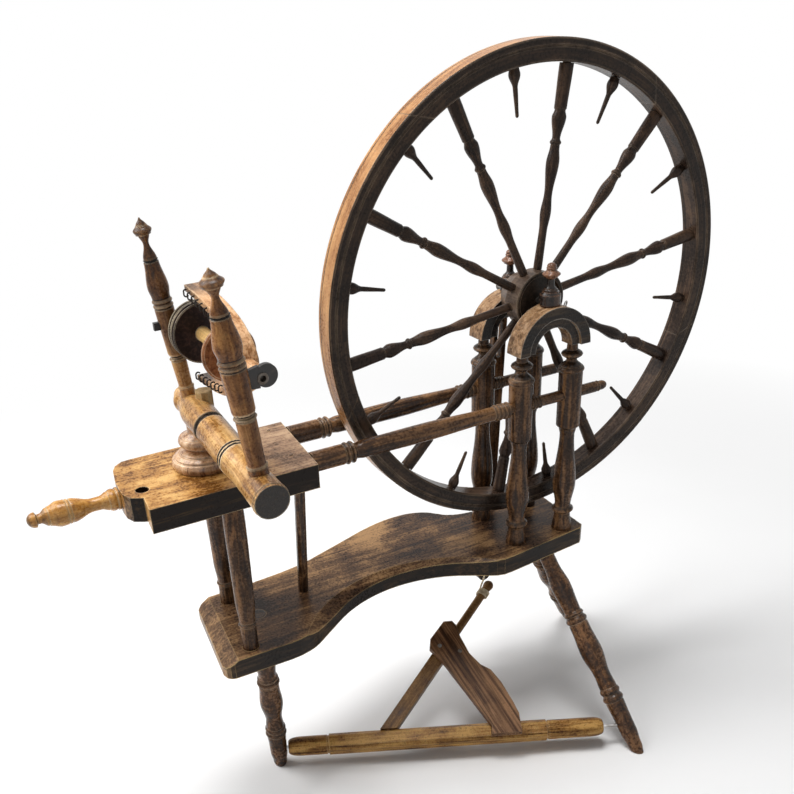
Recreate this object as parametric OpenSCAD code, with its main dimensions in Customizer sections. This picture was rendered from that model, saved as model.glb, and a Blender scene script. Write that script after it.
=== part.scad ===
// Treadle spinning wheel: three-legged bench, upper table, spoked drive wheel and flyer.
// Millimetres, Z up. Every shape is laid out from the wheel's centre: X runs along the bench,
// away from the flyer, and Y runs to the back. The last step lifts it all onto the floor.

/* [Wheel] */
// Outer radius of the rim
wheel_r = 280; // [240:1:320]
// Depth of the rim from tread to inner face
rim_depth = 24; // [16:1:36]
// Width of the rim along the axle
rim_w = 28; // [20:1:40]
// Number of felloes in the rim, with two spokes and two pegs in each
felloe_count = 5; // [4:1:6]
// Angle of the first spoke
spoke_phase = 8.7; // [8:0.1:10]
// Angle of the first felloe joint on the inner face
joint_phase = 51; // [48:0.1:54]
// Lean of a felloe joint from inner face to tread
joint_lean = 4.7; // [2:0.1:8]
// Radius of the hub
hub_r = 34.5; // [28:0.5:40]
// Length of the hub
hub_len = 46; // [40:1:50]
// Radius of the iron axle
axle_r = 5; // [4:0.5:7]
// Throw of the crank
crank_r = 39; // [25:1:50]
// Crank angle, from straight down
crank_turn = 15; // [0:1:360]

/* [Stand] */
// Height of the bench top above the floor
bench_h = 264; // [200:1:300]
// Gap between the rim and the bench top
rim_gap = 34; // [20:1:60]
// Thickness of the bench
bench_t = 24; // [18:1:32]
// Distance of the wheel posts from the wheel's middle plane
post_y = 41.5; // [36:0.5:50]
// Distance of the wheel posts from the axle
post_x = 38; // [32:1:45]
// Outer radius of the arches
arch_r = 52; // [46:1:60]
// Inner radius of the arches
arch_in = 27; // [22:1:32]
// Thickness of the arches
arch_t = 24; // [18:1:28]
// Extra thickness of the arches to the front of the posts
arch_fore = 4.5; // [2:0.5:5]

/* [Table] */
// Depth of the table top below the axle
table_drop = 106; // [90:1:120]
// Thickness of the table
table_t = 28.5; // [22:0.5:34]
// Radius of the upright hole in the table's nose
nose_hole_r = 7.5; // [4:0.5:9]
// Half travel of the mother-of-all
travel = 9; // [4:1:12]

/* [Flyer] */
// Height of the mother-of-all's axis above the table top
moa_rise = 63; // [56:1:70]
// Height of the flyer's axis above the mother-of-all's axis
flyer_rise = 87; // [80:1:95]
// Fall of the mother-of-all from the pedestal to its front end
moa_tilt = 6.4; // [4:0.1:8]
// Lean of the maidens away from the wheel
maiden_lean = 6.8; // [0:0.1:12]
// Radius of the flyer's spindle
spindle_r = 4; // [3:0.5:6]
// Half span of the flyer's arms at their ends
flyer_span = 50; // [46:1:56]

/* [Fits] */
// Gap around a glued or pressed round joint
fit = 0.05; // [0.02:0.01:0.1]
// Gap around a turning shaft
run = 0.08; // [0.04:0.01:0.1]
// Gap between parts that slide past each other
slide_gap = 0.3; // [0.1:0.1:1]

/* [Hidden] */
$fn = 64;
big = 2000;
// Extra length for cutters and for bars that are trimmed
spare = 60;
// Turn of a leaning bar about its own axis
seam_turn = 67.5;
axle_h = bench_h + wheel_r + rim_gap;
floor_z = -axle_h;
bench_z = bench_h - axle_h;
bench_b = bench_z - bench_t;
table_z = -table_drop;
table_b = table_z - table_t;
rail_z = table_z - table_t / 2;
rim_in = wheel_r - rim_depth;
felloe_step = 360 / felloe_count;
spoke_step = felloe_step / 2;

// Colours
honey = [0.62, 0.42, 0.22];
brown = [0.36, 0.22, 0.13];
dark = [0.16, 0.11, 0.08];
pale = [0.78, 0.62, 0.38];
red_brown = [0.45, 0.24, 0.15];
iron = [0.42, 0.42, 0.42];
leather = [0.07, 0.06, 0.06];
string = [0.72, 0.6, 0.42];

// Turned profiles: lists of [radius, distance along the axis]
function rod(z0, z1, r) = [[r, z0], [r, z1]];
function sweep(z0, z1, r0, r1, n = 8) =
    [for (i = [0:n]) [r0 + (r1 - r0) * (1 - cos(180 * i / n)) / 2, z0 + (z1 - z0) * i / n]];
function bead(z0, z1, r0, rb, n = 6) =
    [for (i = [0:n]) [r0 + (rb - r0) * sin(180 * i / n), z0 + (z1 - z0) * i / n]];
function rings(z, w, count, r0, rb) =
    [for (i = [0:count - 1]) for (p = bead(z + i * w, z + (i + 0.96) * w, r0, rb)) p];
function dome(z0, z1, r, n = 6) =
    [for (i = [0:n]) [r * cos(78 * i / n), z0 + (z1 - z0) * sin(78 * i / n) / sin(78)]];
function tidy(p) = [for (i = [0:len(p) - 1]) if (i == 0 || norm(p[i] - p[i - 1]) > 0.005) p[i]];

module turned(p) {
    q = tidy(concat([[0, p[0][1]]], p, [[0, p[len(p) - 1][1]]]));
    rotate_extrude() polygon(q);
}

// Stand local Z along the line from a to b
module along(a, b) {
    d = b - a;
    translate(a)
        rotate([0, acos(d[2] / norm(d)), atan2(d[1], d[0])])
            rotate(seam_turn) children();
}

module slab(z0, z1) {
    translate([-big / 2, -big / 2, z0]) cube([big, big, z1 - z0]);
}

// Round bar along Y from y0 to y1
module bar_y(r, y0, y1, x = 0, z = 0) {
    translate([x, y0, z]) rotate([-90, 0, 0]) cylinder(r = r, h = y1 - y0);
}

// Round bar along X from x0 to x1
module bar_x(r, x0, x1, y = 0, z = 0) {
    translate([x0, y, z]) rotate([0, 90, 0]) cylinder(r = r, h = x1 - x0);
}

// Smooth line through the points of p
function catmull(a, b, c, d, t) = 0.5 * (2 * b + (c - a) * t + (2 * a - 5 * b + 4 * c - d) * t * t
    + (3 * b - a - 3 * c + d) * t * t * t);
function smooth(p, n = 5) = [for (i = [1:len(p) - 3]) for (k = [0:n - 1])
    catmull(p[i - 1], p[i], p[i + 1], p[i + 2], k / n)];

module lift() {
    translate([-mid[0], -mid[1], axle_h]) children();
}

// Bench
bench_cut = [-211.5, -192];
bench_cut_r = 171;
// The bevel is a crescent: its upper edge is an arc of its own, and it slopes this far in and down
bevel_at = [-219, -193];
bevel_r = 184;
bench_bevel = [13, 6.5];
bench_left = [[-460.5, -92], [-444, 53]];
bench_rear = [[-520, 50], [-455, 53], [-383, 55], [-316, 62], [-263, 78], [-184, 104], [-133, 109],
    [-99, 98], [-76, 74], [-52, 64], [-15, 61], [40, 60]];

bench_front = [[-466, -94], [-394, -94], [-382, -93], [-370, -90], [-362, -87.2], [-354, -83], [-310, -52.2],
    [-211, -63], [-118, -49], [-106, -56], [-96, -63], [-86, -69], [-76, -72], [-64, -71.5],
    [58, -58], [65, -52], [71, 55], [66, 60]];
bench_end = [[-461, 47], [-477, -80], [-475, -88], [-471, -92]];

module bench_outline() {
    polygon(concat(bench_front, [for (i = [len(smooth(bench_rear)) - 1:-1:0]) smooth(bench_rear)[i]],
        bench_end));
}

// The left end is planed to a slope
module left_bevel() {
    d = bench_left[1] - bench_left[0];
    translate([bench_left[0][0], bench_left[0][1], bench_z])
        rotate([0, 0, atan2(d[1], d[0]) - 90])
            rotate([0, -32, 0])
                translate([-60, -100, 0]) cube([60, 400, 40]);
}

post_tenon_r = 8;
post_tenon_l = 18;
leg_top_r = 10.5;
leg_set = 18;
through_set = 32;
post_foot_r = 9.5;
post_head_r = 12;
post_set = 16;
left_leg_line = [[-404, -15, bench_b], [-393.7, 1.1, floor_z]];
front_leg_line = [[10, -37, bench_b], [40.3, -230.7, floor_z]];
rear_leg_line = [[27, 25, bench_b], [165, 80, floor_z]];
front_table_line = [[-438, -75, bench_z], [-428.5, -48, table_b]];
rear_table_line = [[-425, 31.7, bench_z], [-427, 24, table_b]];
strut_line = [[-334, 3, bench_z], [-336.5, -26, table_b]];
strut_tenon_r = 4;

// Round socket for a bar on the line l: it starts set before the line's end
function way(l) = (l[1] - l[0]) / norm(l[1] - l[0]);
module socket_top(l, r, set) {
    along(l[0] - (set + fit) * way(l), l[1]) cylinder(r = r + fit, h = set + fit + spare);
}

module socket_end(l, r, set) {
    along(l[1] - spare * way(l), l[1] + way(l)) cylinder(r = r + fit, h = set + fit + spare);
}

// Round tenon about the line l, kept between two heights
module tenon(l, r, z0, z1) {
    intersection() {
        along(l[0] - spare * way(l), l[1]) cylinder(r = r, h = norm(l[1] - l[0]) + 2 * spare);
        slab(z0, z1);
    }
}

module bench() {
    color(brown) difference() {
        translate([0, 0, bench_b]) linear_extrude(bench_t) bench_outline();
        translate([bench_cut[0], bench_cut[1], bench_b - 1]) cylinder(r = bench_cut_r, h = bench_t + 2);
        translate([bevel_at[0], bevel_at[1], bench_z - 2 * bench_bevel[1]])
            cylinder(r1 = bevel_r - 2 * bench_bevel[0], r2 = bevel_r + bench_bevel[0] / 2,
                h = 2.5 * bench_bevel[1]);
        left_bevel();
        socket_top(left_leg_line, leg_top_r, through_set);
        for (l = [front_leg_line, rear_leg_line])
            socket_top(l, leg_top_r, leg_set);
        for (x = [-post_x, post_x])
            for (y = [-post_y, post_y])
                translate([x, y, bench_z - post_tenon_l])
                    cylinder(r = post_tenon_r + fit, h = post_tenon_l + 1);
        for (l = [front_table_line, rear_table_line])
            socket_top(l, post_foot_r, post_set);
        tenon(strut_line, strut_tenon_r + fit, bench_z - post_tenon_l, bench_z + 1);
    }
}

// Legs: one turned pattern, written as shares of the leg's length
function leg_shape(n, set) = concat(rod(-set, 0.1 * n, leg_top_r),
    sweep(0.1 * n, 0.2 * n, leg_top_r, 13.8), sweep(0.2 * n, 0.32 * n, 13.8, 11.6),
    bead(0.325 * n, 0.345 * n, 12, 13.8), bead(0.348 * n, 0.378 * n, 12.5, 15),
    sweep(0.385 * n, 0.41 * n, 13.4, 13.4), sweep(0.41 * n, 0.515 * n, 13.4, 15.3),
    sweep(0.515 * n, 0.635 * n, 15.3, 11), sweep(0.635 * n, 0.69 * n, 11, 12),
    bead(0.695 * n, 0.725 * n, 12, 13.9), bead(0.73 * n, 0.76 * n, 12.2, 14.3),
    sweep(0.765 * n, 0.83 * n, 12.6, 11.8), sweep(0.83 * n, 0.9 * n, 11.8, 11.6),
    sweep(0.9 * n, 0.97 * n, 11.6, 9.4), sweep(0.97 * n, 1.03 * n, 9.4, 6.2));

pivot_rise = 30;
pin_r = 2.2;
pin_grip = 9;
function on_leg(l) = l[0] + (l[1] - l[0]) * (l[0][2] - floor_z - pivot_rise) / (l[0][2] - floor_z);
pivot_a = on_leg(left_leg_line);
pivot_b = on_leg(front_leg_line);
pivot_d = (pivot_b - pivot_a) / norm(pivot_b - pivot_a);
pivot_l = norm(pivot_b - pivot_a);

module leg(l, set) {
    color(brown) difference() {
        along(l[0], l[1]) turned(leg_shape(norm(l[1] - l[0]), set));
        slab(floor_z - spare, floor_z);
        slab(bench_z, bench_z + spare);
        along(pivot_a - pin_grip * pivot_d, pivot_b + pin_grip * pivot_d)
            cylinder(r = pin_r + run, h = pivot_l + 2 * pin_grip);
    }
}

module left_leg() leg(left_leg_line, through_set);
module front_leg() leg(front_leg_line, leg_set);
module rear_leg() leg(rear_leg_line, leg_set);

// Wheel posts, arches and finials; above its foot, a post is measured down from the arch
arch_z = -arch_r;
post_l = arch_z - bench_z;
neck_tenon_r = 4.5;
neck_tenon_l = 10;
rail_post_r = 7;
post_shape = concat(rod(-post_tenon_l, 0, post_tenon_r), sweep(0, 24, 13.5, 10.5),
    bead(25, 34, 11, 14.5),
    sweep(35, 68, 10.5, 15), sweep(68, post_l - 124, 15, 9.4), sweep(post_l - 124, post_l - 115, 9.4, 11),
    sweep(post_l - 115, post_l - 110, 11, 15), rod(post_l - 110, post_l - 38, 15),
    bead(post_l - 38, post_l - 31, 14.5, 16.5), sweep(post_l - 31, post_l - 23, 13, 6.5),
    bead(post_l - 21, post_l - 10, 7, 13.5), sweep(post_l - 10, post_l, 7, 6.5),
    rod(post_l, post_l + neck_tenon_l, neck_tenon_r));

module rail_hole(y) {
    bar_x(rail_post_r + fit, -post_x - spare, post_x + spare, y, rail_z);
}

module post(x, y) {
    color(brown) difference() {
        translate([x, y, bench_z]) turned(post_shape);
        rail_hole(y);
    }
}

module front_left_post() post(-post_x, -post_y);
module front_right_post() post(post_x, -post_y);
module rear_left_post() post(-post_x, post_y);
module rear_right_post() post(post_x, post_y);

axle_short = 7;
axle_front = -post_y - arch_t / 2 - arch_fore + axle_short;
front_bore = [axle_front - 0.5, 0];
rear_bore = [0, post_y + arch_t];
arch_step_r = 38;
arch_step = 4;
seat_r = 10.5;
seat_drop = 1.3;

module arch(y, bore) {
    color(dark) difference() {
        bar_y(arch_r, y - arch_t / 2 - arch_fore, y + arch_t / 2, 0, arch_z);
        bar_y(arch_step_r, y - arch_t, y - arch_t / 2 - arch_fore + arch_step, 0, arch_z);
        bar_y(arch_step_r, y + arch_t / 2 - arch_step, y + arch_t, 0, arch_z);
        bar_y(arch_in, y - arch_t, y + arch_t, 0, arch_z);
        slab(arch_z - 2 * arch_r, arch_z);
        translate([0, y, -seat_drop]) cylinder(r = seat_r + fit, h = 20);
        bar_y(axle_r + run, bore[0], bore[1]);
        for (x = [-post_x, post_x])
            translate([x, y, arch_z - 1]) cylinder(r = neck_tenon_r + fit, h = neck_tenon_l + 1);
    }
}

module front_arch() {
    color(dark) difference() {
        arch(-post_y, front_bore);
        staple_place() staple_legs(fit);
    }
}

module rear_arch() arch(post_y, rear_bore);

drum_r = 12.4;
drum_lift = 0.25;
finial_shape = concat(rod(-seat_drop, drum_lift, seat_r), rod(drum_lift, 13, drum_r),
    sweep(13, 16.5, drum_r - 0.6, 10), bead(16.5, 19.5, 7.6, 8.8), sweep(19.5, 23.5, 6.6, 4.4),
    sweep(23.5, 30, 4.4, 4.2), sweep(30, 33, 4.2, 6), sweep(33, 36.5, 8, 10.8),
    sweep(36.5, 41.5, 10.8, 6), bead(41.5, 45, 5, 6.2), dome(45.5, 49.5, 5.6));

module finial(y, bore) {
    color(dark) difference() {
        translate([0, y, 0]) turned(finial_shape);
        bar_y(axle_r + run, bore[0], bore[1]);
    }
}

// Wire staple beside the front finial
staple_at = 20;
staple_r = 3.5;
staple_wire = 0.9;
staple_deep = 4;

module staple_legs(grow) {
    for (s = [-1, 1]) translate([s * staple_r, 0, arch_r - staple_deep])
        cylinder(r = staple_wire + grow, h = staple_deep + 2);
}

module staple_place() {
    translate([0, -post_y - arch_t / 4, arch_z]) rotate([0, staple_at, 0]) rotate(30) children();
}

module arch_staple() {
    color(iron) staple_place() {
        staple_legs(0);
        translate([0, 0, arch_r + 2]) rotate([90, 0, 0])
            rotate_extrude(angle = 180) translate([staple_r, 0]) circle(r = staple_wire);
    }
}

module front_finial() finial(-post_y, front_bore);
module rear_finial() finial(post_y, rear_bore);

// Rails between the table and the posts
rail_tenon_r = 8;
rail_tenon_l = 40;
rail_end = 96;
table_right = [[-334, -78.5], [-320, 56]];
function table_end(y) = table_right[0][0] + (y - table_right[0][1])
    * (table_right[1][0] - table_right[0][0]) / (table_right[1][1] - table_right[0][1]);
// Distances run from the table's end; the rings stand on both sides of the left post
function rail_shape(n) = concat(rod(-rail_tenon_l, 3, rail_tenon_r), rod(3, 43, 12),
    bead(45, 51, 9.8, 13.2), bead(52, 58, 9.8, 13), sweep(59, 70, 9, 10.4), sweep(70, 150, 10.4, 11),
    sweep(150, n - 176, 11, 8.6), rings(n - 175, 6, 4, 7.6, 10.2), rod(n - 150.5, n - 119, rail_post_r),
    rings(n - 118.5, 5, 3, 6.2, 8.4), rod(n - 103, n - 19, rail_post_r),
    bead(n - 18, n - 14, rail_post_r, 5.4), rod(n - 13, n - 8, 6), dome(n - 8, n, 6));

module rail(y) {
    color(brown) difference() {
        bar_at(table_end(y), y) turned(rail_shape(rail_end - table_end(y)));
        for (p = rail_pin_spots) rail_pin(p, fit);
    }
}

module bar_at(x, y) {
    translate([x, y, rail_z]) rotate([0, 90, 0]) children();
}

// Pins that lock the rails' tenons in the table
rail_pin_r = 2.2;
rail_pin_up = 0.6;
rail_pin_spots = [[-349, -38.5], [-343, 40]];

module rail_pin(p, grow) {
    translate([p[0], p[1], rail_z]) cylinder(r = rail_pin_r + grow, h = table_z - rail_z + rail_pin_up);
}

module rail_pins() {
    color(dark) for (p = rail_pin_spots) rail_pin(p, 0);
}

module front_rail() rail(-post_y);
module rear_rail() rail(post_y);

// Upper table
screw_y = -4;
screw_r = 8;
moa_x = -440;
nut = [24, 25, 26];
slot = [nut[0] + 2 * travel + 1, nut[1] + 1];
nose_x = -540;
table_front = [-526.5, -78.5];
edge_from = -430;
edge_cut = 20;
edge_lean = 35;
edge_in = 4;
nose_hole = [-518.7, -28.4];
nose_points = [[-508, 56], [-518, 55], [-528, 47], [-533, 36], [-538, 10], [-540, -14], [-540, -28],
    [-536, -40], [-527, -46], [-523, -48]];

module table() {
    color(honey) difference() {
        translate([0, 0, table_b]) linear_extrude(table_t)
            polygon(concat([table_front, table_right[0], table_right[1]], nose_points));
        translate([edge_from, table_front[1], table_z]) rotate([-edge_lean, 0, 0])
            translate([0, -edge_cut, -edge_in]) cube([6 * edge_cut, edge_cut, edge_cut]);
        translate([nose_hole[0], nose_hole[1], table_b - 1]) cylinder(r = nose_hole_r, h = table_t + 2);
        bar_x(screw_r + run, nose_x - 5, moa_x, screw_y, rail_z);
        for (p = rail_pin_spots) rail_pin(p, fit);
        translate([moa_x - slot[0] / 2, screw_y - slot[1] / 2, table_b - 1])
            cube([slot[0], slot[1], table_t + 2]);
        for (y = [-post_y, post_y])
            bar_x(rail_tenon_r + fit, table_end(y) - rail_tenon_l, table_end(y) + 20, y, rail_z);
        for (l = [front_table_line, rear_table_line])
            socket_end(l, post_head_r, post_set);
        tenon(strut_line, strut_tenon_r + fit, table_b - 1, table_b + post_tenon_l);
    }
}

function column_shape(n) = concat(rod(-post_set, 26, post_foot_r), bead(27, 32, 9, 11),
    sweep(33, 60, 9.5, 11.5), sweep(60, n - 30, 11.5, 12.5), sweep(n - 30, n - 1, 12.5, post_head_r),
    rod(n - 1, n + post_set, post_head_r));

module column(l) {
    color(dark) along(l[0], l[1]) turned(column_shape(norm(l[1] - l[0])));
}

// A small hole for a peg, high on the front post's outer side
peg_hole_r = 2.2;
peg_hole_at = [-447, -75, -189];

module front_table_post() {
    color(dark) difference() {
        column(front_table_line);
        along(peg_hole_at, peg_hole_at + [0.5, 0.85, 0])
            translate([0, 0, -6]) cylinder(r = peg_hole_r, h = 14);
    }
}

module rear_table_post() column(rear_table_line);

strut_r = 6.5;

module table_strut() {
    color(dark) union() {
        intersection() {
            along(strut_line[0], strut_line[1])
                translate([0, 0, -10]) cylinder(r = strut_r, h = table_b - bench_z + 20, $fn = 8);
            slab(bench_z, table_b);
        }
        tenon(strut_line, strut_tenon_r, bench_z - post_tenon_l, bench_z);
        tenon(strut_line, strut_tenon_r, table_b, table_b + post_tenon_l);
    }
}

// Wheel: the spokes and pegs were set by eye, so each is a little off the even spacing, in degrees
spoke_drift = [-0.5, 2, 0.5, -1, -3, -1, 0.5, 0.5, 0.5, -0.5];
peg_drift = [1.5, 2, -1.5, -3, -3, -1.5, 1, 0.5, -1, -1];
spoke_count = 2 * felloe_count;
function drift(list, i) = list[(i % spoke_count) % len(list)];
function spoke_turn(i) = spoke_phase + spoke_step * i + drift(spoke_drift, i);
function peg_turn(i) = spoke_phase + spoke_step * (i + 0.5) + drift(peg_drift, i);
// The spokes stand this far to the front at the hub
spoke_dish = 7;
spoke_tenon_r = 4.6;
spoke_tenon_l = 8;
hub_socket = 11;
peg_tenon_r = 2.5;
peg_tenon_l = 4;
rim_edge = 1.5;
bead_r = wheel_r - 8.5;
bead_cut = 1.4;

module rim() {
    w = rim_w / 2;
    rotate([90, 0, 0]) rotate_extrude($fn = 128)
        polygon([[rim_in, -w + rim_edge], [rim_in + rim_edge, -w], [wheel_r - rim_edge, -w],
        [wheel_r, -w + rim_edge], [wheel_r, w - rim_edge], [wheel_r - rim_edge, w],
            [bead_r + bead_cut, w],
        [bead_r, w - bead_cut], [bead_r - bead_cut, w], [rim_in + rim_edge, w],
            [rim_in, w - rim_edge]]);
}

function polar(r, a) = [r * cos(a), r * sin(a)];

// One felloe's share of the ring, with leaning ends that run past both faces of the rim
function joint_past(a, k) = polar(rim_in, a) + (polar(wheel_r, a + joint_lean) - polar(rim_in, a)) * k;
module felloe_sector(k) {
    a = joint_phase + felloe_step * k;
    o = 1.3 * wheel_r;
    rotate([90, 0, 0]) translate([0, 0, -rim_w])
        linear_extrude(2 * rim_w)
            polygon(concat([[0, 0], joint_past(a, -0.5), joint_past(a, 1.5)],
                [for (s = [1:5]) polar(o, a + joint_lean + felloe_step * s / 6)],
                [joint_past(a + felloe_step, 1.5), joint_past(a + felloe_step, -0.5)]));
}

module spoked(a) {
    rotate([0, -a, 0]) rotate([0, 90, 0]) children();
}

module dished(i) {
    rotate([0, -spoke_turn(i), 0]) translate([rim_in, 0, 0])
        rotate([0, 0, asin(spoke_dish / (rim_in - hub_r))]) translate([-rim_in, 0, 0])
            rotate([0, 90, 0]) children();
}

module felloe(k) {
    color(dark) difference() {
        intersection() {
            rim();
            felloe_sector(k - 1);
        }
        for (i = [2 * k, 2 * k + 1]) {
            dished(i)
                translate([0, 0, rim_in - 5]) cylinder(r = spoke_tenon_r + fit, h = spoke_tenon_l + 5);
            spoked(peg_turn(i - 1))
                translate([0, 0, rim_in - 5]) cylinder(r = peg_tenon_r + fit, h = peg_tenon_l + 5);
        }
    }
}

module felloe_1() felloe(1);
module felloe_2() felloe(2);
module felloe_3() felloe(3);
module felloe_4() felloe(4);
module felloe_5() felloe(5);

// The hub is full at the front, where the spokes stand, and narrows to the back
hub_back_r = 27;
hub_lip = 5;
hub_dish = 4;

module hub() {
    h = hub_len / 2;
    color(brown) difference() {
        rotate([-90, 0, 0]) rotate_extrude()
            polygon([[axle_r + fit, -h + hub_dish], [hub_r - hub_lip - 1, -h + hub_dish],
                [hub_r - hub_lip, -h], [hub_r - 1, -h], [hub_r, -h + 1], [hub_r, 1],
                [hub_back_r, h - 3], [hub_back_r - 1, h], [hub_back_r - hub_lip, h],
                [hub_back_r - hub_lip - 1, h - hub_dish], [axle_r + fit, h - hub_dish]]);
        for (i = [0:spoke_count - 1])
            dished(i) translate([0, 0, hub_r - hub_socket])
                cylinder(r = spoke_tenon_r + fit, h = hub_socket + 5);
    }
}

spoke_n = rim_in - hub_r;
spoke_shape = concat(rod(-hub_socket, 0.6, spoke_tenon_r), sweep(0.6, 0.2 * spoke_n, 5.2, 4.8),
    sweep(0.2 * spoke_n, 0.29 * spoke_n, 4.8, 6.4), sweep(0.29 * spoke_n, 0.38 * spoke_n, 6.4, 4.7),
    sweep(0.385 * spoke_n, 0.535 * spoke_n, 4.7, 7.6), sweep(0.535 * spoke_n, 0.615 * spoke_n, 7.6, 5.4),
    bead(0.62 * spoke_n, 0.643 * spoke_n, 5.2, 6.6), sweep(0.65 * spoke_n, 0.75 * spoke_n, 4.6, 8.2),
    sweep(0.75 * spoke_n, 0.783 * spoke_n, 8.2, 6.2), sweep(0.79 * spoke_n, 0.97 * spoke_n, 7.2, 8),
    rod(0.97 * spoke_n, spoke_n - 1, 8), rod(spoke_n - 1, spoke_n + spoke_tenon_l, spoke_tenon_r));

module spokes() {
    color(dark) for (i = [0:spoke_count - 1])
        dished(i) translate([0, 0, hub_r]) turned(spoke_shape);
}

peg_shape = concat(rod(-peg_tenon_l, 0.8, peg_tenon_r), sweep(0.8, 8, 5.4, 6.6), sweep(8, 21, 6.6, 2.8),
    sweep(21, 49, 2.8, 2), dome(49, 51.5, 2));

module rim_pegs() {
    color(dark) for (i = [0:spoke_count - 1])
        spoked(peg_turn(i)) translate([0, 0, rim_in]) rotate([180, 0, 0]) turned(peg_shape);
}

crank_y = post_y + arch_t / 2 + 8;
crank_bar_r = 4.5;
crank_swell = 0.7;
crank_pin_r = 4;
crank_pin_l = 26;
crank_at = [crank_r * sin(crank_turn), -crank_r * cos(crank_turn)];

module axle_crank() {
    color(iron) union() {
        bar_y(axle_r, axle_front, crank_y);
        translate([0, crank_y, 0]) sphere(r = axle_r + crank_swell);
        along([0, crank_y, 0], [crank_at[0], crank_y, crank_at[1]])
            cylinder(r = crank_bar_r, h = crank_r);
        translate([crank_at[0], crank_y, crank_at[1]]) sphere(r = crank_bar_r + crank_swell);
        bar_y(crank_pin_r, crank_y, crank_y + crank_pin_l, crank_at[0], crank_at[1]);
    }
}

// Footman
footman_gap = 6;
footman_y = crank_y + crank_bar_r + footman_gap;
footman_t = 9;
footman_w = 20;
footman_lean = 2.9;
footman_foot = 142.8;
footman_l = (crank_at[1] + axle_h - footman_foot) / cos(footman_lean) + footman_w / 2;
footman_slot = [7, 14, 58];
footman_eye = 3;

module footman() {
    color(brown) translate([crank_at[0], footman_y, crank_at[1]]) rotate([0, footman_lean, 0])
        rotate([-90, 0, 0])
        linear_extrude(footman_t) difference() {
            union() {
                translate([-footman_w / 2, 0]) square([footman_w, footman_l - footman_w / 2]);
                circle(r = footman_w / 2);
                translate([0, footman_l - footman_w / 2]) circle(r = footman_w / 2);
            }
            circle(r = crank_pin_r + run);
            translate([-footman_slot[0] / 2, footman_slot[1]])
                square([footman_slot[0], footman_slot[2] - footman_slot[1]]);
            translate([0, footman_slot[2]]) circle(r = footman_slot[0] / 2);
            translate([0, footman_l - footman_w / 2]) circle(r = footman_eye);
        }
}

// Treadle, laid out flat: local X along the bar, local Y toward the footman
arm_at = 159.5;
treadle_tilt = 27.85;
bar_s = 25;
bar_chamfer = 5;
bar_round = 13.2;
bar_groove = 12;
bar_tip = [16, 8];
bar_gap = [14, 32];
bar_turned = [56, 78];
bar_span = [bar_gap[0], pivot_l - bar_gap[1]];
bar_square = [bar_span[0] + bar_turned[0], bar_span[1] - bar_turned[1]];
arm_foot = -16;
arm_dir = 52.9;
arm_l = 292.4;
arm_square_l = 150;
arm_w = 19;
arm_t = 14;
arm_drop = bar_s / 2 - arm_t / 2;
arm_r = 6;
arm_tip_r = 7.5;
arm_tenon_r = 4.5;
arm_tenon_l = 30;
pedal_t = 10;
pedal_line = [[131, -9], [133, 3.4], [108.8, 46.2], [76.3, 103.4], [59.7, 125.4], [62, 139],
    [83.7, 165.9], [96, 166],
    [101, 159], [104.5, 141.4], [114.6, 113.2], [128.3, 94.6], [141.6, 85.7], [153.6, 66],
        [166.6, 34.1], [171.7, 18.5], [172.4, -9]];
nail_spots = [[74.3, 127.5], [102.1, 117.4]];
nail_r = 1.5;
nail_head_r = 3;

module in_treadle() {
    translate(pivot_a + arm_at * pivot_d) rotate([0, 0, treadle_yaw]) rotate([treadle_tilt, 0, 0])
        children();
}

bar_shape = concat(dome_up(bar_span[0], bar_tip[0], bar_tip[1], bar_round),
    rod(bar_span[0] + bar_tip[0], bar_square[0] - 3, bar_round),
    bead(bar_square[0] - 3, bar_square[0], bar_round, bar_groove),
    rod(bar_square[0], bar_square[1], bar_groove),
    bead(bar_square[1], bar_square[1] + 3, bar_round, bar_groove),
    rod(bar_square[1] + 3, bar_span[1] - bar_tip[0], bar_round),
    dome_down(bar_span[1], bar_tip[0], bar_tip[1], bar_round));
function dome_up(z, l, r0, r1) = [for (i = [0:5]) [r0 + (r1 - r0) * sin(90 * i / 5),
    z + l * (1 - cos(90 * i / 5))]];
function dome_down(z, l, r0, r1) = [for (i = [5:-1:0]) [r0 + (r1 - r0) * sin(90 * i / 5),
    z - l * (1 - cos(90 * i / 5))]];

module arm_line(from) {
    translate([arm_foot, 0, 0]) rotate([0, 0, arm_dir])
        translate([from, 0, arm_drop]) rotate([0, 90, 0]) children();
}

module bar_section(a, b) {
    polygon([[-a, -b], [-b, -a], [b, -a], [a, -b], [a, b], [b, a], [-b, a], [-a, b]]);
}

module treadle_bar() {
    color(honey) in_treadle() difference() {
        union() {
            translate([-arm_at, 0, 0]) rotate([0, 90, 0]) turned(bar_shape);
            translate([bar_square[0] - arm_at, 0, 0]) rotate([90, 0, 90])
                linear_extrude(bar_square[1] - bar_square[0])
                bar_section(bar_s / 2, bar_s / 2 - bar_chamfer);
        }
        for (x = [bar_span[0], bar_span[1] - pin_hold])
            translate([x - arm_at - 0.01, 0, 0]) rotate([0, 90, 0])
                cylinder(r = pin_r + fit, h = pin_hold + 0.02);
        arm_line(0) cylinder(r = arm_tenon_r + fit, h = arm_tenon_l);
    }
}

pin_hold = 16;
pin_gap = 0.5;

module treadle_pins() {
    color(iron) in_treadle() {
        translate([-arm_at - pin_grip + pin_gap, 0, 0]) rotate([0, 90, 0])
            cylinder(r = pin_r, h = bar_span[0] + pin_hold + pin_grip - pin_gap);
        translate([bar_span[1] - pin_hold - arm_at, 0, 0]) rotate([0, 90, 0])
            cylinder(r = pin_r, h = pivot_l - bar_span[1] + pin_hold + pin_grip - pin_gap);
    }
}

function arm_shape(n) = concat(sweep(0, 12, arm_t / 2 - 0.1, arm_r), rod(12, n - 12, arm_r),
    sweep(n - 12, n - 4, arm_r, arm_tip_r), dome(n - 4, n + 4, arm_tip_r));

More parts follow.
